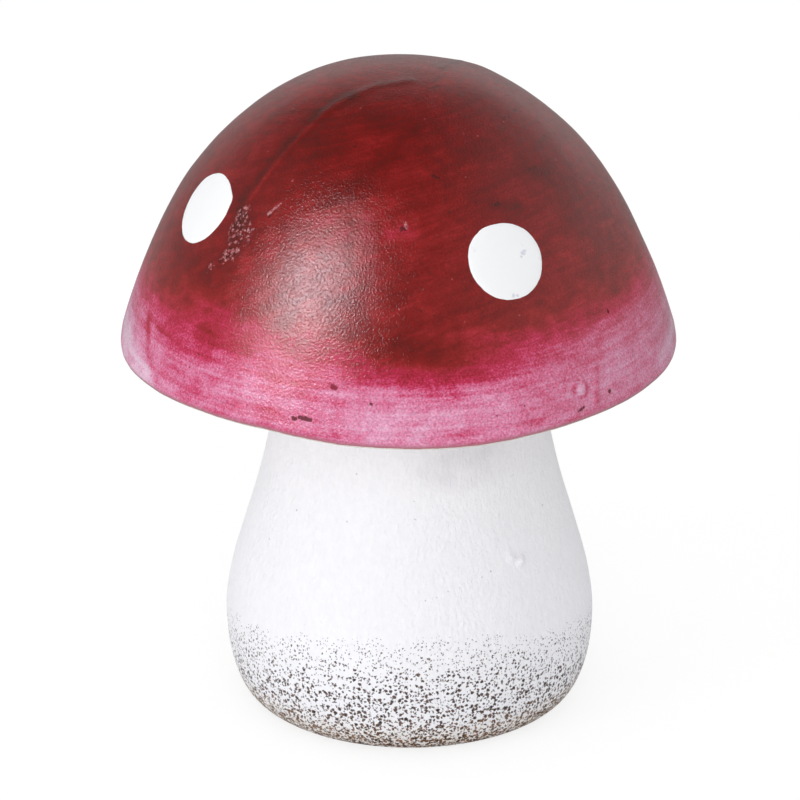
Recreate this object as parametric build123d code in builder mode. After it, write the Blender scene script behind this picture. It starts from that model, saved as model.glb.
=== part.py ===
from build123d import *
import os
from math import cos, radians, sin

# Painted earthenware mushroom: a hollow cap and a hollow stem, cast in separate moulds, joined with
# slip at a spigot and socket, and finished with four dabs of thick white paint.
# Millimetres, +Z up, front towards -Y, origin at the middle of the foot on the surface it stands on.

# Cap
TOTAL_HEIGHT = 115.0  # surface to crown
CAP_HEIGHT = 47.5  # rim to crown
CAP_DIAMETER = 96.0  # across the rim, where the lip begins
CAP_OFFSET = -2.0  # along X from the stem's axis to the cap's: the cap was set on to the left
RIM_SLOPE = 72.0  # degrees from level, the steepness of the flank at the rim
CROWN_HANDLE = 33.0  # how far the crown stays level before it falls away
FLANK_HANDLE = 16.0  # how far the flank keeps its slope above the rim
LIP_RADIUS = 1.6  # rounding under the rim
LIP_TURN = 22.0  # degrees that the lip turns past level, up into the underside
UNDERSIDE_RISE = 2.5  # rim to the flat seat under the cap
SEAT_MARGIN = 1.5  # flat left on the seat outside the slip
CAP_WALL = 5.5
CAVITY_CORNER = 3.0  # rounding along the edge of the cap's hollow

# Stem
FOOT_DIAMETER = 51.0  # the flat that it stands on
FOOT_HANDLE = 6.5  # how far the foot's curve runs on level
BELLY_DIAMETER = 64.5  # the widest part of the stem
BELLY_HEIGHT = 15.0  # surface to the widest part
BELLY_HANDLE_BELOW = 2.5  # how far the belly stays upright below its widest line
BELLY_HANDLE_ABOVE = 12.5  # and above it
NECK_DIAMETER = 45.0  # at the shoulder under the cap
NECK_HANDLE = 27.5  # how far the neck stays upright below the shoulder
STEM_WALL = 5.0
FLOOR_THICKNESS = 6.0
VENT_DIAMETER = 8.0  # lets the air out of the hollow in the kiln

# Joint between stem and cap
SHOULDER_WIDTH = 4.0  # step in from the neck to the spigot that enters the cap's socket
SPIGOT_PROUD = 1.7  # spigot left above the slip inside the cap
SLIP_GAP = 0.8  # slip around the spigot
SLIP_BED = 0.8  # slip between the shoulder and the seat
SLIP_BEAD = 1.5  # slip squeezed out at both ends of the joint

# White spots
SPOT_DIAMETER = 13.4
SPOT_THICKNESS = 0.25
FRONT_SPOT_DISTANCE = 45.0  # over the dome from the crown to the middle of the spot
RIGHT_SPOT_DISTANCE = 43.5
BACK_SPOT_DISTANCE = 44.5
LEFT_SPOT_DISTANCE = 42.4
FRONT_SPOT_ANGLE = 29.0  # degrees round the cap from the front towards the right
RIGHT_SPOT_ANGLE = 118.0
BACK_SPOT_ANGLE = 206.0
LEFT_SPOT_ANGLE = 294.0

# Places worked out from the sizes
CAP_RADIUS = CAP_DIAMETER / 2
RIM_HEIGHT = TOTAL_HEIGHT - CAP_HEIGHT
SEAT_HEIGHT = RIM_HEIGHT + UNDERSIDE_RISE
CAVITY_FLOOR = SEAT_HEIGHT + CAP_WALL
FOOT_RADIUS = FOOT_DIAMETER / 2
BELLY_RADIUS = BELLY_DIAMETER / 2
NECK_RADIUS = NECK_DIAMETER / 2
SHOULDER_HEIGHT = SEAT_HEIGHT - SLIP_BED
SPIGOT_RADIUS = NECK_RADIUS - SHOULDER_WIDTH
SPIGOT_TOP = CAVITY_FLOOR + SLIP_BEAD + SPIGOT_PROUD
BORE_RADIUS = SPIGOT_RADIUS - STEM_WALL
SOCKET_RADIUS = SPIGOT_RADIUS + SLIP_GAP
SEAT_RADIUS = NECK_RADIUS + SLIP_BEAD + abs(CAP_OFFSET) + SEAT_MARGIN
CAP_AXIS = Axis((CAP_OFFSET, 0, 0), (0, 0, 1))
SPOTS = (
    ("white_spot_front", FRONT_SPOT_ANGLE, FRONT_SPOT_DISTANCE),
    ("white_spot_right", RIGHT_SPOT_ANGLE, RIGHT_SPOT_DISTANCE),
    ("white_spot_back", BACK_SPOT_ANGLE, BACK_SPOT_DISTANCE),
    ("white_spot_left", LEFT_SPOT_ANGLE, LEFT_SPOT_DISTANCE),
)


def cap_plane(turn):
    """The upright plane from the cap's axis towards a turn from the front, its own Y upwards."""
    angle = radians(turn)
    outward = (sin(angle), -cos(angle), 0)
    return Plane(CAP_AXIS.position, x_dir=outward, z_dir=(-cos(angle), -sin(angle), 0))


def dome_curve(inset=0.0):
    """The dome's outline from crown to rim, set in by the thickness of a wall or out by a coat."""
    slope = radians(RIM_SLOPE)
    share = (CAP_RADIUS - inset) / CAP_RADIUS
    crown_height = TOTAL_HEIGHT - inset
    rim_radius = CAP_RADIUS - inset * sin(slope)
    rim_height = RIM_HEIGHT - inset * cos(slope)
    handle = FLANK_HANDLE * share
    return Bezier(
        (0, crown_height),
        (CROWN_HANDLE * share, crown_height),
        (rim_radius - handle * cos(slope), rim_height + handle * sin(slope)),
        (rim_radius, rim_height),
    )


def stem_curves(foot_radius, belly_radius, neck_radius, bottom, top):
    """The stem's outline from its bottom over the belly to the neck, as two joined curves."""
    lower = Bezier(
        (foot_radius, bottom),
        (foot_radius + FOOT_HANDLE, bottom),
        (belly_radius, BELLY_HEIGHT - BELLY_HANDLE_BELOW),
        (belly_radius, BELLY_HEIGHT),
    )
    upper = Bezier(
        (belly_radius, BELLY_HEIGHT),
        (belly_radius, BELLY_HEIGHT + BELLY_HANDLE_ABOVE),
        (neck_radius, top - NECK_HANDLE),
        (neck_radius, top),
    )
    return lower, upper


os.makedirs("parts", exist_ok=True)

# Cap shell: dome, rounded lip, hollowed underside and a flat seat with the socket in it
with BuildPart() as cap_shell:
    with BuildSketch(cap_plane(90)):
        with BuildLine():
            dome = dome_curve()
            lip = JernArc(dome @ 1, dome % 1, LIP_RADIUS, RIM_SLOPE - 180 - LIP_TURN)
            # The underside leaves the lip in line with it and meets the seat level
            third = ((lip @ 1).X - SEAT_RADIUS) / 3
            underside = Bezier(
                lip @ 1,
                lip @ 1 + lip % 1 * third,
                (SEAT_RADIUS + third, SEAT_HEIGHT),
                (SEAT_RADIUS, SEAT_HEIGHT),
            )
            Polyline(underside @ 1, (0, SEAT_HEIGHT), dome @ 0)
        make_face()
    revolve(axis=CAP_AXIS)
    with BuildSketch(cap_plane(90)) as cavity:
        with BuildLine():
            inner_dome = dome_curve(CAP_WALL)
            Polyline(inner_dome @ 1, (0, (inner_dome @ 1).Y), inner_dome @ 0)
        make_face()
        with Locations((0, CAVITY_FLOOR)):
            Rectangle(CAP_DIAMETER, CAP_HEIGHT, align=(Align.CENTER, Align.MIN), mode=Mode.INTERSECT)
        fillet(cavity.vertices().sort_by(Axis.X)[-1], CAVITY_CORNER)
    revolve(axis=CAP_AXIS, mode=Mode.SUBTRACT)
    with Locations((0, 0, CAVITY_FLOOR)):
        Hole(SOCKET_RADIUS, CAP_WALL)
cap_shell.part.label = "cap_shell"
export_step(cap_shell.part, "parts/cap_shell.step")

# Stem shell: flat foot, round belly, shoulder and spigot, hollow inside, with a vent in its floor
with BuildPart() as stem_shell:
    with BuildSketch(Plane.XZ):
        with BuildLine():
            foot, side = stem_curves(FOOT_RADIUS, BELLY_RADIUS, NECK_RADIUS, 0, SHOULDER_HEIGHT)
            Polyline(
                side @ 1,
                (SPIGOT_RADIUS, SHOULDER_HEIGHT),
                (SPIGOT_RADIUS, SPIGOT_TOP),
                (0, SPIGOT_TOP),
                (0, 0),
                foot @ 0,
            )
        make_face()
    revolve(axis=Axis.Z)
    with BuildSketch(Plane.XZ):
        with BuildLine():
            floor, wall = stem_curves(
                FOOT_RADIUS - STEM_WALL,
                BELLY_RADIUS - STEM_WALL,
                BORE_RADIUS,
                FLOOR_THICKNESS,
                SHOULDER_HEIGHT - STEM_WALL,
            )
            Polyline(
                wall @ 1,
                (BORE_RADIUS, SPIGOT_TOP),
                (0, SPIGOT_TOP),
                (0, FLOOR_THICKNESS),
                floor @ 0,
            )
        make_face()
    revolve(axis=Axis.Z, mode=Mode.SUBTRACT)
    with Locations((0, 0, FLOOR_THICKNESS)):
        Hole(VENT_DIAMETER / 2, FLOOR_THICKNESS)
stem_shell.part.label = "stem_shell"
export_step(stem_shell.part, "parts/stem_shell.step")

# Slip joint: a bed on the shoulder and a sleeve round the spigot, with a bead at each end
with BuildPart() as slip_joint:
    with BuildSketch(Plane.XZ):
        with BuildLine():
            Polyline(
                (SPIGOT_RADIUS, SHOULDER_HEIGHT),
                (NECK_RADIUS, SHOULDER_HEIGHT),
                (NECK_RADIUS + SLIP_BEAD, SEAT_HEIGHT),
                (SOCKET_RADIUS, SEAT_HEIGHT),
                (SOCKET_RADIUS, CAVITY_FLOOR),
                (SOCKET_RADIUS + SLIP_BEAD, CAVITY_FLOOR),
                (SPIGOT_RADIUS, CAVITY_FLOOR + SLIP_BEAD),
                close=True,
            )
        make_face()
    revolve(axis=Axis.Z)
slip_joint.part.label = "slip_joint"
export_step(slip_joint.part, "parts/slip_joint.step")

# White spots: discs of a coat over the dome, each cut out square to the dome at its middle
for name, turn, distance in SPOTS:
    with BuildLine(cap_plane(turn)) as dome_line:
        dome_curve()
    middle = dome_line.edge().position_at(distance, position_mode=PositionMode.LENGTH)
    downhill = dome_line.edge().tangent_at(distance, position_mode=PositionMode.LENGTH)
    sideways = cap_plane(turn).z_dir
    with BuildPart() as spot:
        # The coat's seam lies behind the cap as seen from the spot
        with BuildSketch(cap_plane(turn + 180)):
            with BuildLine():
                under = dome_curve()
                over = dome_curve(-SPOT_THICKNESS)
                Line(under @ 0, over @ 0)
                Line(under @ 1, over @ 1)
            make_face()
        revolve(axis=CAP_AXIS)
        with BuildSketch(Plane(middle, x_dir=downhill, z_dir=sideways.cross(downhill))):
            Circle(SPOT_DIAMETER / 2)
        extrude(amount=SPOT_DIAMETER / 2, both=True, mode=Mode.INTERSECT)
    spot.part.label = name
    export_step(spot.part, f"parts/{name}.step")
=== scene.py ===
import math
from types import SimpleNamespace

import bpy
import numpy as np
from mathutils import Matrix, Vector, noise


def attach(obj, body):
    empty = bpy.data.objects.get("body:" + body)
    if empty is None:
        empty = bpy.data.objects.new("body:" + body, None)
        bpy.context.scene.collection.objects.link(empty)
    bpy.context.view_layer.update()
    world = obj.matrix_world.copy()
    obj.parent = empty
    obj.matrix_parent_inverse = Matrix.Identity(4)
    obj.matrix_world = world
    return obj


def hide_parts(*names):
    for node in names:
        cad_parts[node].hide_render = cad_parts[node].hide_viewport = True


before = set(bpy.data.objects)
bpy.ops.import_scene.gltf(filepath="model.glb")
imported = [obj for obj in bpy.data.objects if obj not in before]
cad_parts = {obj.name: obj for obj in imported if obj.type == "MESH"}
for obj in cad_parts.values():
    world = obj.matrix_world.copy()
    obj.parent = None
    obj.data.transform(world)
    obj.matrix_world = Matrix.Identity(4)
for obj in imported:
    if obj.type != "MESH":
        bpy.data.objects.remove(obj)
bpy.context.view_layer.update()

# Sizes are in millimetres, as in the solids. Azimuths are degrees round an upright axis, from the front
# (-Y) towards the right (+X). Distances on the cap run over the dome from the crown.
MM = 0.001

# Cap
TOTAL_HEIGHT = 115.0
CAP_HEIGHT = 47.5
CAP_RADIUS = 48.0
CAP_X = -2.0
RIM_SLOPE = math.radians(72.0)
CROWN_HANDLE = 33.0
FLANK_HANDLE = 16.0
LIP_RADIUS = 1.6
LIP_TURN = math.radians(22.0)
UNDERSIDE_RISE = 2.5
SEAT_RADIUS = 27.5
CAP_WALL = 5.5
RIM_Z = TOTAL_HEIGHT - CAP_HEIGHT
SEAT_Z = RIM_Z + UNDERSIDE_RISE
CAVITY_Z = SEAT_Z + CAP_WALL

# Stem
FOOT_RADIUS = 25.5
FOOT_HANDLE = 6.5
BELLY_RADIUS = 32.25
BELLY_Z = 15.0
BELLY_HANDLE_BELOW = 2.5
BELLY_HANDLE_ABOVE = 12.5
NECK_RADIUS = 22.5
NECK_HANDLE = 27.5
STEM_WALL = 5.0
FLOOR_THICKNESS = 6.0
VENT_RADIUS = 4.0

# Joint
SHOULDER_WIDTH = 4.0
SPIGOT_PROUD = 1.7
SLIP_GAP = 0.8
SLIP_BED = 0.8
SLIP_BEAD = 1.5
SHOULDER_Z = SEAT_Z - SLIP_BED
SPIGOT_RADIUS = NECK_RADIUS - SHOULDER_WIDTH
SPIGOT_Z = CAVITY_Z + SLIP_BEAD + SPIGOT_PROUD
BORE_RADIUS = SPIGOT_RADIUS - STEM_WALL
SOCKET_RADIUS = SPIGOT_RADIUS + SLIP_GAP

# Corner of the cap's hollow, and the step from rings round the cap's axis to the socket
CORNER_RISE = 1.0
CORNER_WIDTH = 1.5
SOCKET_MARGIN = 2.5

# Handles of the curve of the slip's bead
BEAD_DROP = 0.5
BEAD_REACH = 0.8

# White spots: node, azimuth, distance, radius, width against height, then how far a corner stands out and
# at what angle round the spot, from straight down towards the right
SPOTS = (
    ("white_spot_front", 29.05, 45.2, 6.7, 1.055, 0.12, 200.0),
    ("white_spot_right", 118.0, 43.5, 6.6, 0.98, 0.25, 40.0),
    ("white_spot_back", 206.0, 44.5, 6.65, 1.03, 0.30, 310.0),
    ("white_spot_left", 293.1, 42.4, 6.6, 1.06, 0.30, 125.0),
)
SPOT_THICKNESS = 0.16
SPOT_CORNER_WIDTH = 14.0  # degrees round the spot
SPOT_EDGE_POWER = 14  # the higher, the more abruptly the edge falls
SPOT_EDGE_SUNK = 0.08  # how far the edge ends below the surface of the dome
SPOT_UNDER_SUNK = 0.1  # how far the hidden side lies below it

# Spacing of mesh points on shown and on hidden surfaces
FINE = 0.43
MEDIUM = 0.9
COARSE = 2.5

# Fineness of curves, rings and spots
CURVE_STEPS = 300
LIP_STEPS = 60
SLOPE_STEP = 0.2
POLE_RADIUS = 0.01
FEWEST_COLUMNS = 24
COLUMN_STEP = 16
SPOT_RINGS = 24
SPOT_COLUMNS = 144

# Waves in surfaces, edges and strokes: height, size, seed
DOME_WAVES = ((0.10, 26.0, 3.1), (0.06, 9.0, 8.4), (0.025, 2.6, 1.9))
STEM_WAVES = ((0.14, 24.0, 5.7), (0.05, 7.0, 2.2))
SLIP_WAVES = ((0.25, 4.0, 7.7), (0.1, 1.5, 3.3))
SPOT_WAVES = ((0.02, 2.0, 9.0),)
SPOT_EDGE_WAVES = ((0.14, 0.45, 1.0), (0.06, 0.12, 2.0))
WASH_EDGE_WAVES = ((0.8, 14.0, 6.3),)
STROKE_WAVES = ((0.5, 2.5, 4.4),)
NECK_SHADE_WAVES = ((0.9, 3.0, 5.5),)
SEED_SHIFT = (1.0, 1.7, 0.3)  # how far a seed of 1 shifts the noise along X, Y and Z

# Places where the dome swells or is dented: azimuth, distance, reach, height
DOME_LUMPS = (
    (-104.5, 47.0, 5.5, 0.23),
    (-116.0, 32.0, 6.0, -0.26),
    (-98.0, 71.5, 4.0, 0.20),
    (138.0, 21.0, 5.0, 0.40),
    (118.0, 31.0, 5.0, -0.13),
    (101.0, 56.0, 6.0, -0.16),
    (98.0, 71.5, 4.0, 0.20),
    (-127.0, 25.0, 5.0, -0.18),
    (70.0, 46.0, 12.0, -0.10),
    (-30.0, 52.0, 14.0, 0.10),
    (40.6, 69.0, 1.0, 0.50),
    (37.2, 68.9, 0.8, 0.24),
    (53.6, 71.1, 0.8, 0.12),
    (200.0, 50.0, 10.0, 0.15),
)

# How far the uneven rim lies below its plain level, by azimuth
RIM_DROP = (
    (-180, 0.0), (-140, 0.3), (-105, 0.1), (-80, 0.8), (-62, -0.1), (-45, -0.7), (-28, -0.9), (-12, 0.0),
    (4, 0.4), (16, 0.6), (28, 0.2), (45, 0.0), (65, 0.2), (85, 0.8), (120, -0.2), (150, 0.1), (180, 0.0),
)
RIM_START = 10.0  # above the rim, where this begins
RIM_FULL = 1.0  # above the rim, where it is full
UNDER_START = 3.0  # outside the seat, where it begins underneath
UNDER_FULL = 6.0  # inside the rim, where it is full underneath
RIM_INSET = 0.16  # how far the dome is drawn in at the rim
RIM_INSET_REACH = 8.0  # length of dome over which it is

# Seams that stand a little proud of the dome: half width, height, path of azimuth and distance
LAP = ((-50, 39), (-49, 33), (-47, 25), (-46, 17), (-43, 13), (-37, 9.8), (-27, 7.0), (-10, 6.0), (22, 5))
SEAMS = (
    (0.6, 0.09, LAP[:4]),
    (1.1, 0.13, LAP[3:]),
    (0.6, 0.25, ((46.4, 66.5), (44.4, 72.1))),
    (0.6, 0.10, ((112, 8), (135, 14), (150, 25), (156, 38))),
)

# The crimson wash over white: strength by the distance below its lower edge
WASH_EDGE = 61.0
WASH_FALL = (
    (-62, 0.83), (-45, 0.83), (-35, 0.82), (-26, 0.80), (-16, 0.77), (-8, 0.75), (-5, 0.71), (-2.5, 0.63),
    (0, 0.54), (3, 0.38), (6, 0.31), (10, 0.28), (14, 0.33),
)
# Where that edge was drawn lower: azimuth, half width, how far
WASH_DIPS = (
    (-58, 18, 1.8), (12, 17, 2.9), (58, 20, -1.8), (130, 22, 1.5), (180, 20, -1.2), (-140, 25, 1.5),
)
# Brush strokes of more or less wash: half width, amount, path of azimuth and distance
WASH_STROKES = (
    # The next three strokes follow the lap: the dark bands are thicker wash, partly painted shade beside
    # its ridge, and the pale line is painted highlight on the ridge
    (1.6, 0.07, LAP[3:]),
    (0.45, -0.16, LAP[:5]),
    (1.6, 0.12, ((-52.5, 38), (-51.5, 33), (-50, 25), (-49.5, 17), (-47, 12))),
    (1.6, 0.09, ((-21, 34), (-8, 27), (7, 20))),
    (2.4, -0.05, ((-16, 21), (0, 23), (8, 28), (14, 26))),
    (1.2, 0.08, ((44, 31), (58, 33))),
    (2.2, 0.05, ((-8, 55), (8, 58))),
    (3.0, -0.07, ((-57, 55.5), (-45, 57))),
    (3.5, 0.03, ((62, 66), (80, 68), (95, 67))),
    (6.0, 0.05, ((58, 40), (61, 56))),
    (2.2, 0.12, ((-50, 40), (-48, 43), (-47.5, 47))),
    (2.6, 0.08, ((-4, 59.5), (11, 59.5))),
    # The next four strokes make the paint lighter under and round the lamp's gleam: painted highlight
    (2.6, -0.05, ((-41, 56.5), (-30, 59))),
    (3.5, -0.07, ((-14, 36), (-33, 37), (-39, 48), (-35, 57))),
    (4.0, -0.03, ((-25, 45), (-20, 54))),
    (2.5, -0.04, ((-30, 59), (-14, 59))),
    (2.5, 0.05, ((-28, 69), (-12, 70))),
    (2.0, 0.08, ((-46, 61), (-36, 61.5))),
    (1.6, -0.06, ((-66, 66), (-56, 66.5))),
    (2.0, -0.16, ((70, 72), (92, 71))),
    (1.8, -0.10, ((-92, 71.8), (-80, 72.4))),
    (5.0, -0.04, ((70, 53), (90, 57))),
    (6.0, 0.03, ((-30, 11), (-14, 17))),
    (3.0, 0.04, ((-42, 20), (-38, 27))),
    (5.0, -0.05, ((-78, 12), (-60, 9), (-44, 7.5))),
    (5.0, -0.04, ((-88, 24), (-82, 34))),
    (4.0, -0.04, ((80, 9), (95, 14))),
    (1.8, -0.06, ((0, 38), (3, 39))),
    (1.5, -0.10, ((-6, 72), (8, 72.2))),
    (2.2, -0.07, ((8, 56), (30, 58.5))),
    (8.0, -0.05, ((-6, 42), (8, 40))),
    (1.0, 0.12, ((30, 35.6), (38, 36.4))),
    (3.0, 0.08, ((-66, 51), (-52, 52))),
    (2.6, -0.30, ((-88, 69.5), (-79, 71), (-71, 72.3), (-63, 73.2))),
    (0.9, 0.18, ((-69.5, 64.5), (-66.8, 67), (-64.8, 69.6), (-59, 72.5))),
    (3.0, 0.06, ((-57, 69), (-47, 71.5))),
    (2.6, 0.06, ((-28, 64.5), (-13, 65.5))),
    (0.5, 0.12, ((-64, 64.2), (-52, 64.9), (-41, 64.6))),
    (0.5, 0.10, ((-54, 68.6), (-41, 68.4))),
    (0.5, 0.08, ((-40, 70.8), (-26, 71.0))),
    (3.4, -0.10, ((-8, 69), (4, 68), (21, 68))),
    (2.4, 0.03, ((-62, 65.5), (-40, 66.5), (-20, 66))),
    (1.6, 0.07, ((-50, 72.5), (-30, 72.5), (-16, 72.5))),
    (0.55, 0.14, ((46.4, 66.5), (44.4, 72.1))),
    (0.35, 0.15, ((5, 72.6), (14, 72.2), (30, 72.5))),
    # Round the blisters on the right: a darker ring, painted shade round their relief, and paler middles,
    # painted highlight on them
    (0.40, 0.21, (
        (38.8, 69.2), (39.4, 67.9), (40.8, 67.5), (42.2, 68.1), (42.6, 69.4), (41.8, 70.5), (40.2, 70.6),
    )),
    (0.8, -0.13, ((40.2, 69.0), (41.0, 69.0))),
    (0.6, -0.14, ((37.0, 69.4), (37.4, 69.4))),
    (0.35, 0.12, ((-14, 73.0), (-7, 72.6), (-4, 70.3))),
    (1.3, 0.10, ((112, 8), (135, 14), (150, 25), (156, 38))),
    (3.0, -0.10, ((165, 56), (190, 57.5))),
    (2.6, 0.10, ((120, 58), (138, 59))),
    (6.0, -0.07, ((100, 38), (112, 42))),
    (6.0, -0.07, ((225, 36), (240, 40))),
    # Lighter paint at the upper right of the lamp's gleam: painted highlight
    (4.5, -0.06, ((-22, 40), (-8, 39), (-4, 35))),
    (2.5, -0.04, ((-14, 25.5), (-8, 26))),
    (3.0, 0.04, ((4, 48), (10, 52))),
    (6.0, 0.035, ((54, 17.5), (46, 24), (52, 30), (61, 31))),
    (10.0, 0.03, ((64, 36), (70, 48))),
)
# How far the fine strokes slant across the cap, along X and along Y
BRUSH_SLANT = (0.45, -0.35)
# Where the pale lip and the bare clay begin and are full, past the end of the dome
LIP_BAND = (0.7, 1.1)
BARE_BAND = (1.35, 1.9)

# Small marks in the paint: azimuth, distance, radius. They fade between these shares of the radius.
MARK_INSIDE = 0.8
MARK_OUTSIDE = 1.2
BROWN_CHIPS = (
    (-20.2, 70.45, 0.38), (-19.7, 70.5, 0.42), (-19.1, 70.55, 0.4), (-18.5, 70.65, 0.4),
    (-18.0, 70.7, 0.36), (-21.6, 70.75, 0.36), (-21.2, 70.8, 0.36),
    (39.2, 72.6, 0.34), (39.7, 72.5, 0.36), (40.2, 72.4, 0.38), (40.7, 72.3, 0.36), (48.6, 71.3, 0.44),
    (54.7, 58.7, 0.38), (-5.6, 67.2, 0.28),
    (152.0, 69.0, 0.4), (231.0, 66.0, 0.35),
)
RED_MARKS = (
    (-13.8, 64.8, 0.5), (-13.3, 64.9, 0.42), (26.8, 69.4, 0.26), (27.6, 72.8, 0.3), (20.4, 70.3, 0.26),
    (15.0, 70.7, 0.24), (12.6, 70.5, 0.24), (17.0, 69.3, 0.22), (38.2, 70.8, 0.26), (-47.4, 64.6, 0.24),
    (-49.2, 67.3, 0.22),
)
PITS = (
    (-40.0, 38.7, 0.34), (1.2, 37.6, 0.34), (1.7, 37.9, 0.38), (0.8, 38.1, 0.28), (12.6, 28.6, 0.3),
    (13.4, 28.9, 0.34), (14.4, 29.1, 0.26), (38.0, 8.9, 0.22), (42.0, 8.9, 0.28), (46.0, 8.85, 0.3),
    (50.0, 8.8, 0.24), (73.6, 21.4, 0.26), (74.6, 21.7, 0.3), (75.6, 22.3, 0.26), (71.4, 27.9, 0.3),
    (31.0, 35.4, 0.3), (32.0, 35.3, 0.34), (84.4, 37.5, 0.28), (85.0, 38.2, 0.34), (85.4, 38.9, 0.28),
    (101.4, 25.1, 0.24),
)
PALE_FLECKS = (
    # The first three are a painted highlight on the lit edge of the pits near 2 degrees, raised a little in
    # the bump
    (2.3, 37.2, 0.26), (2.5, 37.6, 0.28), (2.2, 36.8, 0.18),
    (-40.6, 38.3, 0.30), (-40.2, 38.0, 0.30), (-39.8, 37.6, 0.28), (-39.4, 37.2, 0.28), (-39.0, 36.8, 0.26),
    (-38.5, 36.5, 0.26), (-38.1, 36.1, 0.20),
)
CRUMBLED = (
    (-49.5, 40.0, 1.6), (-48.0, 43.0, 2.3), (-46.0, 42.5, 1.7), (-47.5, 46.3, 1.9), (-49.5, 48.5, 0.8),
    (-52.5, 50.5, 1.0), (-43.5, 44.0, 0.8),
)

# Smudges on the front spot and pits in the stem: azimuth, distance or height, radius
SPOT_SMUDGES = (
    (34.2, 44.5, 0.45), (35.0, 44.2, 0.35), (33.4, 44.9, 0.3), (28.6, 51.0, 0.35), (29.6, 51.1, 0.3),
)
STEM_PITS = (
    (-47.8, 41.0, 0.20), (-24.5, 41.6, 0.14), (2.0, 43.0, 0.15), (-22.0, 50.0, 0.15), (1.5, 46.0, 0.13),
    (5.0, 29.4, 0.14), (9.0, 29.9, 0.12), (13.0, 30.6, 0.13), (17.0, 31.1, 0.12), (21.5, 31.8, 0.14),
    # The marks at 38.9 and 40.2 degrees are painted shade beside the blister, dented a little like the pits
    (25.5, 32.2, 0.12), (29.0, 32.9, 0.13), (38.9, 33.9, 0.22), (40.2, 34.6, 0.20), (46.0, 47.5, 0.16),
    (-60.0, 34.0, 0.16), (60.0, 40.0, 0.16),
)

# The stem's blister: azimuth, height, reach, swelling
STEM_BLISTER = ((41.6, 33.2, 0.8, 1.10), (38.4, 34.1, 0.7, 0.50), (40.2, 34.4, 0.6, -0.50))
STEM_FADE = 4.0  # the stem's unevenness fades over this height at both ends

# Painted shade that the cap casts on the neck: its middle, then where it begins and is full, in degrees and
# in height
NECK_SHADE_AZIMUTH = 22.0
NECK_SHADE_Z = 52.0
NECK_SHADE_SIDE = (28.0, 8.0)
NECK_SHADE_RISE = (6.5, 1.0)
NECK_SHADE_STRENGTH = 0.22

# Brown specks: size of a cell, height where they begin, radius there and low down, share of cells that
# hold one there and low down
SPECK_LAYERS = (
    (0.90, 21.0, 0.125, 0.245, 0.42, 0.68),
    (0.66, 22.3, 0.095, 0.175, 0.38, 0.57),
    (0.47, 23.2, 0.06, 0.10, 0.30, 0.40),
)

# Lamps: name, azimuth, elevation, width, height, power
SOFT_LAMPS = (
    ("softbox", -53, 13, 340, 340, 1.42),
    ("front_fill", 3, 24, 500, 500, 1.38),
)
GLEAM_LAMP = ("softbox_gleam", -45.5, 30, 275, 500, 8.5)
GLEAM_ROLL = -20.0
GLEAM_TINT = (1.0, 0.96, 1.035)
LAMP_TARGET = (0, 0, 70)
LAMP_DISTANCE = 900

# Light from all round, on the paint and in its gloss: axis, start and end of a change, strength at both
WORLD_LIT = (
    ("Z", 0.2, 0.9, 0.72, 0.86),
    ("X", -0.9, 0.9, 0.05, -0.09),
)
WORLD_MIRRORED = (
    ("Y", 0.7, 0.95, 0.14, 0.62),
    ("X", 0.15, 0.62, 0.0, 0.40),
    ("X", 0.62, 0.95, 0.0, 0.22),
    ("X", -0.3, -0.9, 0.0, 0.20),
)

# Floor: width, greys to the camera, in the gloss and to other light, and glow to the camera
FLOOR_WIDTH = 5000
FLOOR_SEEN = 0.24
FLOOR_MIRRORED = 0.4
FLOOR_PLAIN = 0.88
FLOOR_GLOW = 0.80

# Camera
CAMERA_LENS = 268.4
CAMERA_SENSOR = 36.0
CAMERA_CLIP = 20000
CAMERA_TARGET = (-1.71, 0, 54.04)
CAMERA_ELEVATION = 23.35
CAMERA_DISTANCE = 1035


def bezier(a, b, c, d):
    t = np.linspace(0, 1, CURVE_STEPS + 1)[:, None]
    a, b, c, d = (np.array(point, float) for point in (a, b, c, d))
    return (1 - t) ** 3 * a + 3 * t * (1 - t) ** 2 * b + 3 * t**2 * (1 - t) * c + t**3 * d


def lengths(line):
    """How far along the line each of its points lies."""
    return np.concatenate([[0], np.cumsum(np.hypot(*np.diff(line, axis=0).T))])


def spaced(line, spacing):
    """The line again, in even steps of about the spacing."""
    line = np.asarray(line, float)
    along = lengths(line)
    steps = max(1, round(along[-1] / spacing))
    at = np.linspace(0, along[-1], steps + 1)
    return np.stack([np.interp(at, along, line[:, k]) for k in (0, 1)], axis=1)


def dome_curve(inset=0.0):
    """The dome's outline from crown to rim, set in by the thickness of a wall."""
    share = (CAP_RADIUS - inset) / CAP_RADIUS
    rim = (CAP_RADIUS - inset * math.sin(RIM_SLOPE), RIM_Z - inset * math.cos(RIM_SLOPE))
    handle = FLANK_HANDLE * share
    return bezier(
        (0, TOTAL_HEIGHT - inset),
        (CROWN_HANDLE * share, TOTAL_HEIGHT - inset),
        (rim[0] - handle * math.cos(RIM_SLOPE), rim[1] + handle * math.sin(RIM_SLOPE)),
        rim,
    )


def lip_curve():
    inwards = np.array([math.sin(RIM_SLOPE), math.cos(RIM_SLOPE)])
    centre = np.array([CAP_RADIUS, RIM_Z]) - LIP_RADIUS * inwards
    turn = np.linspace(0, math.pi - RIM_SLOPE + LIP_TURN, LIP_STEPS + 1)
    angles = math.pi / 2 - RIM_SLOPE - turn
    return centre + LIP_RADIUS * np.stack([np.cos(angles), np.sin(angles)], axis=1)


def underside_curve():
    start = lip_curve()[-1]
    third = (start[0] - SEAT_RADIUS) / 3
    heading = np.array([-math.cos(LIP_TURN), math.sin(LIP_TURN)])
    return bezier(start, start + heading * third, (SEAT_RADIUS + third, SEAT_Z), (SEAT_RADIUS, SEAT_Z))


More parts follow.
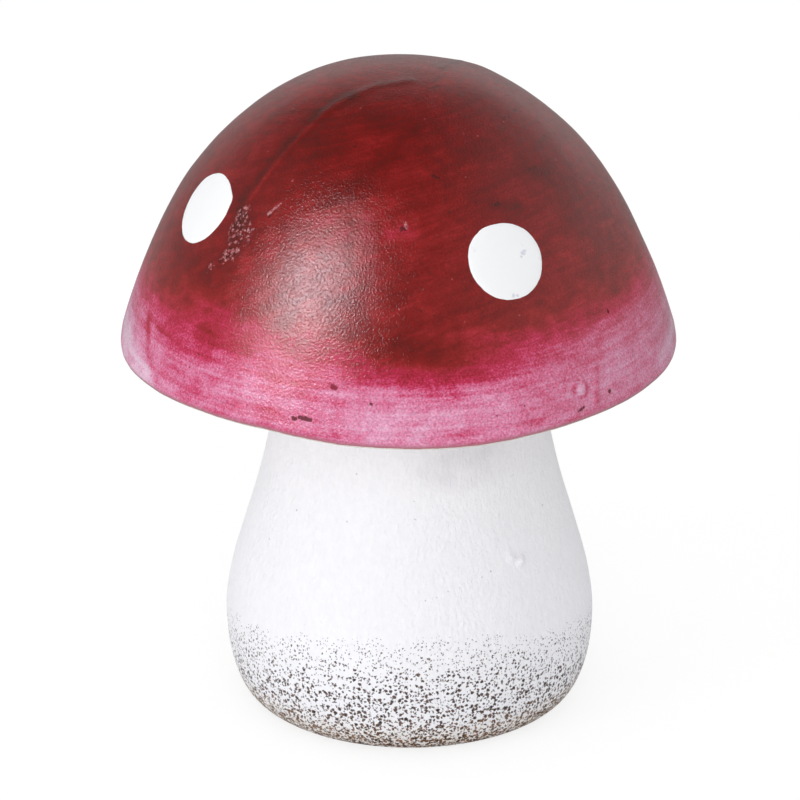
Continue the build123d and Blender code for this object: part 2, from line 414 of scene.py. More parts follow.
def stem_curve(foot_radius, belly_radius, neck_radius, bottom, top):
    """The stem's outline from its bottom over the belly to the neck."""
    lower = bezier(
        (foot_radius, bottom),
        (foot_radius + FOOT_HANDLE, bottom),
        (belly_radius, BELLY_Z - BELLY_HANDLE_BELOW),
        (belly_radius, BELLY_Z),
    )
    upper = bezier(
        (belly_radius, BELLY_Z),
        (belly_radius, BELLY_Z + BELLY_HANDLE_ABOVE),
        (neck_radius, top - NECK_HANDLE),
        (neck_radius, top),
    )
    return np.vstack([lower, upper[1:]])


DOME = dome_curve()
DOME_ALONG = lengths(DOME)
DOME_LENGTH = DOME_ALONG[-1]
LIP_LENGTH = lengths(lip_curve())[-1]
STEM = stem_curve(FOOT_RADIUS, BELLY_RADIUS, NECK_RADIUS, 0, SHOULDER_Z)


def dome_section(distance):
    """Radius and height of the plain dome at distances from the crown."""
    return np.interp(distance, DOME_ALONG, DOME[:, 0]), np.interp(distance, DOME_ALONG, DOME[:, 1])


def on_dome(azimuth, distance):
    """Points and outward directions at azimuths in radians and distances over the plain dome."""
    radius, z = dome_section(distance)
    near_radius, near_z = dome_section(distance - SLOPE_STEP)
    far_radius, far_z = dome_section(distance + SLOPE_STEP)
    fall = far_z - near_z
    grow = far_radius - near_radius
    size = np.hypot(fall, grow)
    out, up = -fall / size, grow / size
    points = np.stack([CAP_X + radius * np.sin(azimuth), -radius * np.cos(azimuth), z], axis=-1)
    normals = np.stack([out * np.sin(azimuth), -out * np.cos(azimuth), up], axis=-1)
    return points, normals


def dome_place(azimuth, distance):
    """A point of the plain dome, by degrees and distance."""
    return on_dome(np.array(math.radians(azimuth)), np.array(float(distance)))[0]


def stem_place(azimuth, z):
    """A point of the plain stem, by degrees and height."""
    radius = np.interp(z, STEM[:, 1], STEM[:, 0])
    turn = math.radians(azimuth)
    return radius * math.sin(turn), -radius * math.cos(turn), z


def ring_size(radius, spacing):
    """How many points a ring has: one at a pole, more elsewhere."""
    if radius <= POLE_RADIUS:
        return 1
    return max(FEWEST_COLUMNS, COLUMN_STEP * round(2 * math.pi * radius / spacing / COLUMN_STEP))


def stitched(upper, lower):
    """Faces between two rings: quads where they have as many points, and triangles elsewhere."""
    n, m = len(upper), len(lower)
    upper, lower = upper + upper[:1], lower + lower[:1]
    if n == m:
        return [(upper[k], lower[k], lower[k + 1], upper[k + 1]) for k in range(n)]
    # A ring of one point is a pole and has no sides
    upper_sides = n if n > 1 else 0
    lower_sides = m if m > 1 else 0
    faces = []
    i = j = 0
    while i < upper_sides or j < lower_sides:
        if i < upper_sides and (lower_sides == 0 or (i + 1) * m <= (j + 1) * n):
            faces.append((upper[i], lower[j], upper[i + 1]))
            i += 1
        else:
            faces.append((upper[i], lower[j], lower[j + 1]))
            j += 1
    return faces


def facing(outline, loop):
    """Outward and upward parts of the way a surface faces, along its outline."""
    step = np.gradient(outline, axis=0)
    if loop:
        step = np.roll(outline, -1, axis=0) - np.roll(outline, 1, axis=0)
    size = np.hypot(step[:, 0], step[:, 1])
    return -step[:, 1] / size, step[:, 0] / size


class Skin:
    """Rings of points round upright axes, laid along an outline and joined to one closed mesh."""

    def __init__(self):
        self.rows = []

    def lay(self, line, spacing, axis_x=0.0, shown=1.0):
        """Adds rings along a line of radius and height, the outside downwards and the inside upwards."""
        for radius, z in spaced(line, spacing):
            row = (radius, z, axis_x, shown, spacing)
            if self.rows and np.allclose(self.rows[-1][:3], row[:3]):
                self.rows.pop()
            self.rows.append(row)

    def build(self, loop=False):
        """The faces, and what is known of each point."""
        rows = np.array(self.rows)
        outline = rows[:, :2]
        out, up = facing(outline, loop)
        along = lengths(outline)
        rings = []
        parts = {key: [] for key in ("points", "normals", "azimuth", "radius", "along", "shown")}
        total = 0
        for k, (radius, z, axis_x, shown, spacing) in enumerate(rows):
            count = ring_size(radius, spacing)
            azimuth = math.pi + 2 * math.pi * np.arange(count) / count
            level = np.ones(count)
            across = np.stack([np.sin(azimuth), -np.cos(azimuth)], axis=1)
            parts["points"].append(np.column_stack([radius * across + (axis_x, 0), z * level]))
            parts["normals"].append(np.column_stack([out[k] * across, up[k] * level]))
            parts["azimuth"].append(azimuth)
            for key, value in (("radius", radius), ("along", along[k]), ("shown", shown)):
                parts[key].append(value * level)
            rings.append(list(range(total, total + count)))
            total += count
        following = rings[1:] + rings[:1] if loop else rings[1:]
        faces = []
        for upper, lower in zip(rings, following):
            faces += stitched(upper, lower)
        return SimpleNamespace(faces=faces, **{key: np.concatenate(value) for key, value in parts.items()})


def perlin(points, size, seed):
    """Noise from about -1 to 1 with features of the size."""
    shift = Vector([seed * share for share in SEED_SHIFT])
    return np.array([noise.noise(Vector(point) + shift) for point in np.asarray(points) / size])


def waves(points, table):
    """The sum of the waves in a table of height, size and seed."""
    return sum(height * perlin(points, size, seed) for height, size, seed in table)


def hump(away, reach):
    """1 in the middle, and almost 0 at twice the reach."""
    return np.exp(-((away / reach) ** 2))


def turned(azimuth, degrees):
    """Azimuths in radians as turns from a place in degrees, from -pi to pi."""
    return (azimuth - math.radians(degrees) + math.pi) % (2 * math.pi) - math.pi


def ramped(value, low, high):
    """0 at low and 1 at high, smooth between."""
    t = np.clip((value - low) / (high - low), 0, 1)
    return t * t * (3 - 2 * t)


def looped(azimuth, table):
    """Values between those of a table by azimuth in degrees."""
    degrees, values = np.array(table).T
    return np.interp(np.degrees(turned(azimuth, 0)), degrees, values)


def from_path(points, path):
    """Distance of points from a path of straight pieces between places on the dome."""
    corners = [dome_place(*place) for place in path]
    nearest = np.full(len(points), np.inf)
    for start, end in zip(corners[:-1], corners[1:]):
        run = end - start
        share = np.clip((points - start) @ run / (run @ run), 0, 1)
        nearest = np.minimum(nearest, np.linalg.norm(points - start - share[:, None] * run, axis=1))
    return nearest


def cap_relief(points, along):
    """How far the hand-finished dome stands out from its plain outline."""
    relief = waves(points, DOME_WAVES)
    for degrees, distance, reach, height in DOME_LUMPS:
        away = np.linalg.norm(points - dome_place(degrees, distance), axis=1)
        relief += height * hump(away, reach)
    for width, height, path in SEAMS:
        relief += height * hump(from_path(points, path), width)
    return relief - RIM_INSET * ramped(along, DOME_LENGTH - RIM_INSET_REACH, DOME_LENGTH)


def rim_share(cap):
    """The share of the rim's unevenness that each point of the cap takes."""
    share = ramped(cap.along, DOME_LENGTH - RIM_START, DOME_LENGTH - RIM_FULL) * cap.shown
    under = cap.along > DOME_LENGTH + LIP_LENGTH / 2
    fading = ramped(cap.radius, SEAT_RADIUS + UNDER_START, CAP_RADIUS - UNDER_FULL)
    return share * np.where(under, fading, 1)


def cap_wash(points, azimuth, along):
    """Strength of the crimson wash, from 0 for almost none to 1 for the darkest."""
    edge = WASH_EDGE + waves(points, WASH_EDGE_WAVES)
    for degrees, width, lower in WASH_DIPS:
        edge += lower * hump(np.degrees(turned(azimuth, degrees)), width)
    wash = np.interp(along - edge, *np.array(WASH_FALL).T)
    uneven = 1 + waves(points, STROKE_WAVES)
    for width, amount, path in WASH_STROKES:
        wash += amount * hump(from_path(points, path), width) * uneven
    return np.clip(wash, 0, 1)


def stem_relief(stem):
    """How far the stem stands out from its plain outline."""
    z = stem.points[:, 2]
    relief = waves(stem.points, STEM_WAVES)
    for degrees, height, reach, swelling in STEM_BLISTER:
        side = turned(stem.azimuth, degrees) * stem.radius
        relief += swelling * hump(np.hypot(side, z - height), reach)
    return relief * stem.shown * ramped(z, 0.0, STEM_FADE) * ramped(z, SHOULDER_Z, SHOULDER_Z - STEM_FADE)


def painted_neck_shade(stem):
    """Strength of the blotchy painted shade that the cap casts on the neck."""
    side = np.abs(np.degrees(turned(stem.azimuth, NECK_SHADE_AZIMUTH)))
    rise = np.abs(stem.points[:, 2] - NECK_SHADE_Z)
    uneven = np.clip(1 + waves(stem.points, NECK_SHADE_WAVES), 0, 2)
    return ramped(side, *NECK_SHADE_SIDE) * ramped(rise, *NECK_SHADE_RISE) * NECK_SHADE_STRENGTH * uneven


def linear(red, green, blue):
    """The linear colour that shows as a display colour from 0 to 255."""
    def one(value):
        value /= 255
        return value / 12.92 if value <= 0.04045 else ((value + 0.055) / 1.055) ** 2.4
    return (one(red), one(green), one(blue), 1.0)


# Colours of the cap: the wash from thin to thick where it lies on the pink band and where it is red
PINK_RAMP = (
    (0.00, (0.80, 0.52, 0.67)),
    (0.15, (0.74, 0.33, 0.500)),
    (0.30, (0.67, 0.18, 0.325)),
    (0.44, (0.57, 0.055, 0.155)),
    (0.52, (0.50, 0.020, 0.076)),
    (0.60, (0.40, 0.011, 0.042)),
    (0.70, (0.27, 0.007, 0.014)),
    (0.82, (0.165, 0.004, 0.004)),
)
RED_RAMP = (
    (0.45, (0.44, 0.030, 0.044)),
    (0.60, (0.36, 0.015, 0.018)),
    (0.70, (0.25, 0.0065, 0.0060)),
    (0.82, (0.165, 0.003, 0.0015)),
    (0.92, (0.120, 0.004, 0.0015)),
    (1.00, (0.080, 0.005, 0.002)),
)
DUSTY_PINK = linear(150, 112, 118)
LIP_PINK = linear(176, 112, 126)
CHIP_BROWN = linear(92, 26, 34)
MARK_RED = linear(130, 16, 42)
PIT_BROWN = linear(60, 14, 12)
CHALK_PINKS = (linear(156, 66, 76), linear(208, 140, 142))
BARE_CLAYS = (linear(222, 205, 188), linear(240, 234, 228))

# Colours of the stem, the spots and the slip
STEM_WHITES = (linear(245, 245, 250), linear(249, 249, 254))
# Grey of the painted shade under the cap on the neck
NECK_SHADE_GREY = linear(196, 192, 200)
FOOT_CREAM = linear(230, 218, 202)
SPECK_DARK = linear(52, 36, 31)
SPECK_LIGHTS = (linear(108, 86, 80), linear(142, 104, 70))
STEM_PIT_GREY = linear(165, 161, 165)
SPOT_WHITE = linear(246, 247, 249)
SPOT_THIN = linear(200, 198, 218)
SPOT_SMUDGE_GREY = linear(176, 178, 204)
SLIP_CLAYS = (linear(226, 218, 206), linear(243, 240, 236))


class Nodes:
    """Short ways to add and join the nodes of a tree. Lengths are in millimetres."""

    def __init__(self, tree):
        self.tree = tree

    def put(self, socket, value):
        if isinstance(value, bpy.types.NodeSocket):
            self.tree.links.new(value, socket)
        else:
            socket.default_value = value

    def node(self, kind, **settings):
        made = self.tree.nodes.new(kind)
        for key, value in settings.items():
            setattr(made, key, value)
        return made

    def math(self, operation, a, b):
        made = self.node("ShaderNodeMath", operation=operation)
        self.put(made.inputs[0], a)
        self.put(made.inputs[1], b)
        return made.outputs[0]

    def plus(self, a, b):
        return self.math("ADD", a, b)

    def minus(self, a, b):
        return self.math("SUBTRACT", a, b)

    def times(self, a, b):
        return self.math("MULTIPLY", a, b)

    def most(self, a, b):
        return self.math("MAXIMUM", a, b)

    def below(self, a, b):
        """1 where a is less than b, and 0 elsewhere."""
        return self.math("LESS_THAN", a, b)

    def vector(self, operation, a, b):
        made = self.node("ShaderNodeVectorMath", operation=operation)
        self.put(made.inputs[0], a)
        self.put(made.inputs[1], b)
        return made.outputs["Value" if operation == "DISTANCE" else "Vector"]

    def coordinate(self, vector, axis):
        made = self.node("ShaderNodeSeparateXYZ")
        self.put(made.inputs[0], vector)
        return made.outputs[axis]

    def place(self, stretch=(1.0, 1.0, 1.0)):
        """Where a point lies on the piece, divided by the stretch."""
        on_piece = self.node("ShaderNodeTexCoord").outputs["Object"]
        return self.vector("MULTIPLY", on_piece, [1 / MM / size for size in stretch])

    def noise(self, vector, size=1.0, detail=3.0, roughness=0.55, distortion=0.0, output="Fac"):
        made = self.node("ShaderNodeTexNoise")
        names = ("Vector", "Scale", "Detail", "Roughness", "Distortion")
        for name, value in zip(names, (vector, 1 / size, detail, roughness, distortion)):
            self.put(made.inputs[name], value)
        return made.outputs[output]

    def roughened(self, vector, size, amount):
        """The place, shifted to and fro, so that shapes get uneven edges."""
        cloud = self.noise(vector, size, detail=2.0, output="Color")
        shift = self.vector("SUBTRACT", cloud, (0.5, 0.5, 0.5))
        return self.vector("ADD", vector, self.vector("MULTIPLY", shift, (amount, amount, amount)))

    def cells(self, vector, size, dimensions="3D"):
        """Distance from the middle of random cells, and two random numbers of each."""
        made = self.node("ShaderNodeTexVoronoi", voronoi_dimensions=dimensions)
        self.put(made.inputs["Vector"], vector)
        made.inputs["Scale"].default_value = 1 / size
        parts = self.node("ShaderNodeSeparateColor")
        self.put(parts.inputs[0], made.outputs["Color"])
        away = self.times(made.outputs["Distance"], size)
        return SimpleNamespace(away=away, chance=parts.outputs[0], other=parts.outputs[1])

    def spread(self, value, low, high, to_low=0.0, to_high=1.0):
        """From one number to another while the value runs from low to high, smooth."""
        made = self.node("ShaderNodeMapRange", interpolation_type="SMOOTHSTEP")
        self.put(made.inputs["Value"], value)
        for socket, number in zip(made.inputs[1:5], (low, high, to_low, to_high)):
            self.put(socket, number)
        return made.outputs[0]

    def mix(self, share, a, b, blend="MIX"):
        made = self.node("ShaderNodeMix", data_type="RGBA", blend_type=blend)
        colours = [socket for socket in made.inputs if socket.type == "RGBA"]
        self.put(made.inputs[0], share)
        self.put(colours[0], a)
        self.put(colours[1], b)
        return [socket for socket in made.outputs if socket.type == "RGBA"][0]

    def ramp(self, share, stops):
        made = self.node("ShaderNodeValToRGB")
        self.put(made.inputs[0], share)
        elements = made.color_ramp.elements
        while len(elements) < len(stops):
            elements.new(0.5)
        for element, (place, colour) in zip(elements, stops):
            element.position = place
            element.color = (*colour, 1)
        return made.outputs["Color"]

    def attribute(self, name, output="Fac"):
        return self.node("ShaderNodeAttribute", attribute_name=name).outputs[output]

    def marks(self, vector, places, locate=dome_place):
        """1 in balls round places on the dome or the stem, and 0 away from them."""
        total = 0.0
        for azimuth, distance, radius in places:
            away = self.vector("DISTANCE", vector, locate(azimuth, distance))
            total = self.most(total, self.spread(away, MARK_OUTSIDE * radius, MARK_INSIDE * radius))
        return total

    def swing(self, value, amount):
        """A noise from 0 to 1 as a change to both sides of nothing."""
        return self.times(self.minus(value, 0.5), amount)

    def bump(self, height, depth):
        made = self.node("ShaderNodeBump")
        made.inputs["Strength"].default_value = 1.0
        made.inputs["Distance"].default_value = depth * MM
        self.put(made.inputs["Height"], height)
        return made.outputs[0]

    def matt(self, level):
        """A matt grey of a linear level."""
        made = self.node("ShaderNodeBsdfDiffuse")
        self.put(made.inputs["Color"], (level, level, level, 1))
        return made.outputs[0]

    def choice(self, share, a, b):
        """Shader a where the share is 0 and shader b where it is 1."""
        made = self.node("ShaderNodeMixShader")
        for socket, value in zip(made.inputs, (share, a, b)):
            self.put(socket, value)
        return made.outputs[0]


class Paint(Nodes):
    """The nodes of one material."""

    def __init__(self, name):
        self.material = bpy.data.materials.new(name)
        self.material.use_nodes = True
        self.material.node_tree.nodes.clear()
        super().__init__(self.material.node_tree)

    def surface(self, shader):
        output = self.node("ShaderNodeOutputMaterial")
        self.put(output.inputs["Surface"], shader)
        return self.material

    def finish(self, colour, roughness, normal, specular=0.5):
        shader = self.node("ShaderNodeBsdfPrincipled")
        self.put(shader.inputs["Base Color"], colour)
        self.put(shader.inputs["Roughness"], roughness)
        self.put(shader.inputs["Normal"], normal)
        self.put(shader.inputs["Specular IOR Level"], specular)
        return self.surface(shader.outputs[0])


def wash_strength(n, place, base, grain):
    """The wash with its streaks, bands, strokes, blotches and grain."""
    streaks = n.noise(n.place(stretch=(18.0, 18.0, 0.75)), roughness=0.6)
    bands = n.noise(n.place(stretch=(24.0, 24.0, 2.2)), detail=2.0, roughness=0.5)
    slanted = n.vector("DIVIDE", n.attribute("brush", "Vector"), (9.0, 9.0, 1.3))
    strokes = n.noise(slanted, detail=4.0, roughness=0.6, distortion=0.4)
    blotches = n.noise(place, size=3.6, detail=4.0, roughness=0.6, distortion=0.5)
    # Each pattern, with its amount where the wash is thin and where it is thick
    patterns = (
        (streaks, 0.36, 0.06),
        (bands, 0.24, 0.0),
        (strokes, 0.10, 0.28),
        (blotches, 0.38, 0.34),
        (grain, 0.56, 0.26),
    )
    wash = base
    for pattern, thin, thick in patterns:
        amount = n.spread(base, low=0.50, high=0.75, to_low=thin, to_high=thick)
        wash = n.plus(wash, n.swing(pattern, amount))
    return wash


def wash_colour(n, base, wash):
    """Pink where the wash is thin and red where it is thick, duller at the right, and dotted."""
    x = n.coordinate(n.attribute("brush", "Vector"), "X")
    at_right = n.spread(x, low=14.0, high=42.0, to_high=0.22)
    dusty = n.times(at_right, n.spread(base, 0.62, 0.45))
    pink = n.mix(dusty, n.ramp(wash, PINK_RAMP), DUSTY_PINK)
    paint = n.mix(n.spread(base, 0.58, 0.74), pink, n.ramp(wash, RED_RAMP))
    dots = n.noise(n.place(stretch=(0.42, 0.42, 0.38)), detail=2.0, roughness=0.6)
    contrast = n.spread(base, low=0.45, high=0.70, to_low=0.80, to_high=0.10)
    return n.mix(1.0, paint, n.plus(1.0, n.swing(dots, contrast)), "MULTIPLY")


def crumbs_and_holes(n, place):
    """Pale crumbs and dark holes in the patch of crumbled paint."""
    patch = n.marks(n.roughened(place, size=1.5, amount=2.4), CRUMBLED)
    cell = n.cells(n.roughened(place, size=0.35, amount=0.7), size=0.58)
    away = n.minus(cell.away, n.times(cell.other, 0.30))
    crumb = n.times(patch, n.spread(away, 0.26, 0.02))
    pale = n.times(crumb, n.spread(cell.chance, 0.50, 0.52))
    holes = n.times(crumb, n.spread(cell.chance, 0.40, 0.38))
    return pale, holes


def dust_and_pores(n, uneven, base):
    """Sparse pale specks and dark pores all over the red of the dome."""
    cell = n.cells(uneven, size=2.2)
    fleck = n.times(n.spread(cell.away, 0.26, 0.10), n.spread(base, 0.55, 0.70))
    dust = n.times(fleck, n.times(n.below(cell.chance, 0.22), 0.35))
    pores = n.times(fleck, n.below(0.80, cell.chance))
    return dust, pores


def pebbled(n, place):
    """Height of the fine pebbled gloss."""
    cell = n.cells(n.roughened(place, size=0.36, amount=0.4), size=0.42)
    pebbles = n.times(n.spread(cell.away, 0.30, 0.0), 0.50)
    fine = n.noise(place, size=0.34, detail=4.0, roughness=0.70)
    return n.plus(pebbles, n.times(fine, 0.95))


def cap_paint():
    n = Paint("cap_paint")
    place = n.place()
    uneven = n.roughened(place, size=0.6, amount=0.4)
    base = n.attribute("wash")
    grain = n.noise(n.place(stretch=(0.36, 0.36, 0.32)), detail=2.0, roughness=0.6)
    chips = n.marks(uneven, BROWN_CHIPS)
    reds = n.marks(uneven, RED_MARKS)
    crumbs, holes = crumbs_and_holes(n, place)
    dust, pores = dust_and_pores(n, uneven, base)
    pale = n.most(n.most(crumbs, n.marks(uneven, PALE_FLECKS)), dust)
    pits = n.most(n.most(holes, n.marks(uneven, PITS)), pores)
    colour = wash_colour(n, base, wash_strength(n, place, base, grain))
    colour = n.mix(n.attribute("lip"), colour, LIP_PINK)
    chalk = n.mix(n.spread(n.noise(place, size=0.5), 0.35, 0.65), *CHALK_PINKS)
    # Marks in the order in which they lie over each other, with how well they cover
    layers = (
        (chips, 0.90, CHIP_BROWN),
        (reds, 0.90, MARK_RED),
        (pale, 0.75, chalk),
        (pits, 0.70, PIT_BROWN),
    )
    for mark, cover, mark_colour in layers:
        colour = n.mix(n.times(mark, cover), colour, mark_colour)
    clay = n.mix(n.noise(place, size=2.0, detail=4.0), *BARE_CLAYS)
    edge = n.plus(n.attribute("bare"), n.swing(n.noise(place, size=1.2), 1.2))
    colour = n.mix(n.spread(edge, 0.45, 0.55), colour, clay)
    sunk = n.most(n.most(chips, n.times(pits, 0.5)), reds)
    height = n.minus(pebbled(n, place), n.times(sunk, 0.8))
    height = n.plus(height, n.times(pale, 1.2))
    gloss = n.spread(grain, low=0.3, high=0.7, to_low=0.15, to_high=0.23)
    roughness = n.plus(gloss, n.times(n.most(chips, reds), 0.8))
    return n.finish(colour, roughness, n.bump(height, depth=0.056))


def foot_specks(n, place, uneven):
    """Brown specks, denser and larger towards the foot, where they join to a net."""
    x = n.coordinate(place, "X")
    z = n.coordinate(place, "Z")
    flat = n.roughened(n.attribute("unrolled", "Vector"), size=0.5, amount=0.75)
    aside = n.math("POWER", n.math("DIVIDE", x, BELLY_RADIUS), 2.0)
    wavy = n.swing(n.noise(place, size=5.0, detail=2.0), 5.0)
    rise = n.plus(n.plus(z, n.times(aside, 6.0)), wavy)
    specks = 0.0
    for size, start, small, large, few, many in SPECK_LAYERS:
        cell = n.cells(flat, size, "2D")
        radius = n.spread(rise, low=start, high=12.0, to_low=small, to_high=large)
        radius = n.times(radius, n.spread(cell.other, low=0.0, high=1.0, to_low=0.65, to_high=1.35))
        share = n.spread(rise, low=start, high=1.0, to_low=few, to_high=many)
        there = n.times(n.below(cell.chance, share), n.below(rise, start))
        inside = n.spread(n.minus(cell.away, radius), 0.07, -0.05)
        specks = n.most(specks, n.times(inside, there))
    strands = n.noise(uneven, size=0.66, roughness=0.6)
    least = n.spread(z, low=0.5, high=9.0, to_low=0.52, to_high=0.68)
    net = n.spread(n.minus(strands, least), -0.03, 0.03)
    return n.most(specks, n.times(net, n.spread(z, 13.0, 9.0)))


def stem_paint():
    n = Paint("stem_paint")
    place = n.place()
    uneven = n.roughened(place, size=0.6, amount=0.6)
    z = n.coordinate(place, "Z")
    fibres = n.noise(n.place(stretch=(0.8, 0.8, 2.6)), detail=4.0, roughness=0.65)
    brushed = n.spread(fibres, 0.3, 0.7)
    colour = n.mix(brushed, *STEM_WHITES)
    # Painted shade under the cap, in grey on the neck
    colour = n.mix(n.attribute("neck_shade"), colour, NECK_SHADE_GREY)
    cream = n.times(n.spread(z, 8.0, 1.0), n.noise(place, size=1.8))
    colour = n.mix(cream, colour, FOOT_CREAM)
    light_brown = n.mix(n.spread(z, 10.0, 3.0), *SPECK_LIGHTS)
    paler = n.spread(n.noise(place, size=0.8, detail=2.0), 0.3, 0.7)
    brown = n.mix(paler, SPECK_DARK, light_brown)
    colour = n.mix(foot_specks(n, place, uneven), colour, brown)
    cell = n.cells(uneven, size=2.6)
    pits = n.times(n.spread(cell.away, 0.18, 0.08), n.below(cell.chance, 0.03))
    pits = n.most(pits, n.marks(uneven, STEM_PITS, stem_place))
    colour = n.mix(n.times(pits, 0.5), colour, STEM_PIT_GREY)
    grain = n.noise(n.place(stretch=(0.6, 0.6, 0.9)))
    height = n.plus(n.times(brushed, 0.25), n.times(grain, 0.9))
    height = n.minus(height, n.times(pits, 0.15))
    return n.finish(colour, roughness=0.72, normal=n.bump(height, depth=0.30), specular=0.3)


def spot_paint():
    n = Paint("spot_paint")
    place = n.place()
    thin = n.spread(n.noise(place, size=2.4, detail=4.0, roughness=0.6), 0.64, 0.80)
    colour = n.mix(n.times(thin, 0.5), SPOT_WHITE, SPOT_THIN)
    smudges = n.marks(n.roughened(place, size=0.5, amount=0.7), SPOT_SMUDGES)
    colour = n.mix(n.times(smudges, 0.45), colour, SPOT_SMUDGE_GREY)
    height = n.noise(place, size=0.7)
    return n.finish(colour, roughness=0.6, normal=n.bump(height, depth=0.03), specular=0.3)


def slip_clay():
    n = Paint("slip_clay")
    place = n.place()
    colour = n.mix(n.noise(place, size=1.6, detail=4.0), *SLIP_CLAYS)
    height = n.noise(place, size=0.7)
    return n.finish(colour, roughness=0.8, normal=n.bump(height, depth=0.1), specular=0.3)


def add_piece(name, node, points, faces, material, attributes=None):
    """Adds a mesh in place of a node. Attributes give each point a number or a vector."""
    mesh = bpy.data.meshes.new(name)
    mesh.from_pydata((points * MM).tolist(), [], faces)
    for key, values in (attributes or {}).items():
        kind, field = ("FLOAT", "value") if values.ndim == 1 else ("FLOAT_VECTOR", "vector")
        mesh.attributes.new(key, kind, "POINT").data.foreach_set(field, values.astype(np.float32).ravel())
    mesh.update()
    mesh.shade_smooth()
    mesh.materials.append(material)
    piece = bpy.data.objects.new(name, mesh)
    bpy.context.scene.collection.objects.link(piece)
    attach(piece, "root")
    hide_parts(node)


def add_cap():
    skin = Skin()
    skin.lay(DOME, FINE, CAP_X)
    skin.lay(lip_curve(), FINE, CAP_X)
    skin.lay(underside_curve(), MEDIUM, CAP_X)
    # The seat and the hollow are round the cap's axis, the socket round the stem's
    skin.lay(((SEAT_RADIUS, SEAT_Z), (SOCKET_RADIUS + SOCKET_MARGIN, SEAT_Z)), COARSE, CAP_X, shown=0)
    skin.lay(((SOCKET_RADIUS, SEAT_Z), (SOCKET_RADIUS, CAVITY_Z)), COARSE, shown=0)
    inner = dome_curve(CAP_WALL)
    inner = inner[inner[:, 1] > CAVITY_Z + CORNER_RISE]
    corner = (inner[-1, 0] - CORNER_WIDTH, CAVITY_Z)
    skin.lay(((SOCKET_RADIUS + SOCKET_MARGIN, CAVITY_Z), corner), COARSE, CAP_X, shown=0)
    skin.lay(inner[::-1], COARSE, CAP_X, shown=0)
    cap = skin.build()
    relief = cap_relief(cap.points, cap.along) * cap.shown
    points = cap.points + cap.normals * relief[:, None]
    points[:, 2] -= looped(cap.azimuth, RIM_DROP) * rim_share(cap)
    x, y = cap.points[:, 0] - CAP_X, cap.points[:, 1]
    slant_x, slant_y = BRUSH_SLANT
    attributes = {
        "wash": cap_wash(cap.points, cap.azimuth, cap.along),
        "lip": ramped(cap.along - DOME_LENGTH, *LIP_BAND),
        "bare": ramped(cap.along - DOME_LENGTH, *BARE_BAND),
        "brush": np.column_stack([x, y, cap.along + slant_x * x + slant_y * y]),
    }
    add_piece("cap", "cap_shell", points, cap.faces, cap_paint(), attributes)


def add_stem():
    inner = stem_curve(
        FOOT_RADIUS - STEM_WALL,
        BELLY_RADIUS - STEM_WALL,
        BORE_RADIUS,
        FLOOR_THICKNESS,
        SHOULDER_Z - STEM_WALL,
    )
    skin = Skin()
    skin.lay(((BORE_RADIUS, SPIGOT_Z), (SPIGOT_RADIUS, SPIGOT_Z)), COARSE, shown=0)
    skin.lay(((SPIGOT_RADIUS, SPIGOT_Z), (SPIGOT_RADIUS, SHOULDER_Z)), COARSE, shown=0)
    skin.lay(((SPIGOT_RADIUS, SHOULDER_Z), (NECK_RADIUS, SHOULDER_Z)), COARSE, shown=0)
    skin.lay(STEM[::-1], FINE)
    skin.lay(((FOOT_RADIUS, 0), (VENT_RADIUS, 0)), MEDIUM, shown=0)
    skin.lay(((VENT_RADIUS, 0), (VENT_RADIUS, FLOOR_THICKNESS)), COARSE, shown=0)
    skin.lay(((VENT_RADIUS, FLOOR_THICKNESS), inner[0]), COARSE, shown=0)
    skin.lay(inner, COARSE, shown=0)
    skin.lay((inner[-1], (BORE_RADIUS, SPIGOT_Z - COARSE)), COARSE, shown=0)
    stem = skin.build(loop=True)
    points = stem.points + stem.normals * stem_relief(stem)[:, None]
    around = turned(stem.azimuth, 0) * BELLY_RADIUS
    attributes = {
        # Strength of the painted shade under the cap on the neck
        "neck_shade": painted_neck_shade(stem),
        "unrolled": np.column_stack([around, stem.along, np.zeros(len(around))]),
    }
    add_piece("stem", "stem_shell", points, stem.faces, stem_paint(), attributes)


def add_slip():
    bead = bezier(
        (NECK_RADIUS + SLIP_BEAD, SEAT_Z),
        (NECK_RADIUS + SLIP_BEAD, SEAT_Z - BEAD_DROP),
        (NECK_RADIUS + BEAD_REACH, SHOULDER_Z),
        (NECK_RADIUS, SHOULDER_Z),
    )
    top = (SPIGOT_RADIUS, CAVITY_Z + SLIP_BEAD)
    upper_edge = (SOCKET_RADIUS + SLIP_BEAD, CAVITY_Z)
    skin = Skin()
    skin.lay(((SOCKET_RADIUS, SEAT_Z), bead[0]), MEDIUM, shown=0)
    skin.lay(bead, FINE)
    skin.lay((bead[-1], (SPIGOT_RADIUS, SHOULDER_Z)), MEDIUM, shown=0)
    skin.lay(((SPIGOT_RADIUS, SHOULDER_Z), top), MEDIUM, shown=0)
    skin.lay((top, upper_edge), FINE)
    skin.lay((upper_edge, (SOCKET_RADIUS, CAVITY_Z)), FINE, shown=0)
    skin.lay(((SOCKET_RADIUS, CAVITY_Z), (SOCKET_RADIUS, SEAT_Z + MEDIUM)), MEDIUM, shown=0)
    slip = skin.build(loop=True)
    relief = waves(slip.points, SLIP_WAVES) * slip.shown
    points = slip.points + slip.normals * relief[:, None]
    add_piece("slip_bead", "slip_joint", points, slip.faces, slip_clay())


def spot_edge(seed, reach, corner_height, corner):
    """Angles round a spot from straight down, and the reach of its ragged edge at each."""
    angle = 2 * math.pi * np.arange(SPOT_COLUMNS) / SPOT_COLUMNS
    circle = np.stack([np.cos(angle), np.sin(angle), np.full(SPOT_COLUMNS, seed)], axis=1)
    from_corner = np.degrees(turned(angle, corner))
    edge = reach + waves(circle, SPOT_EDGE_WAVES) + corner_height * hump(from_corner, SPOT_CORNER_WIDTH)
    return angle, edge


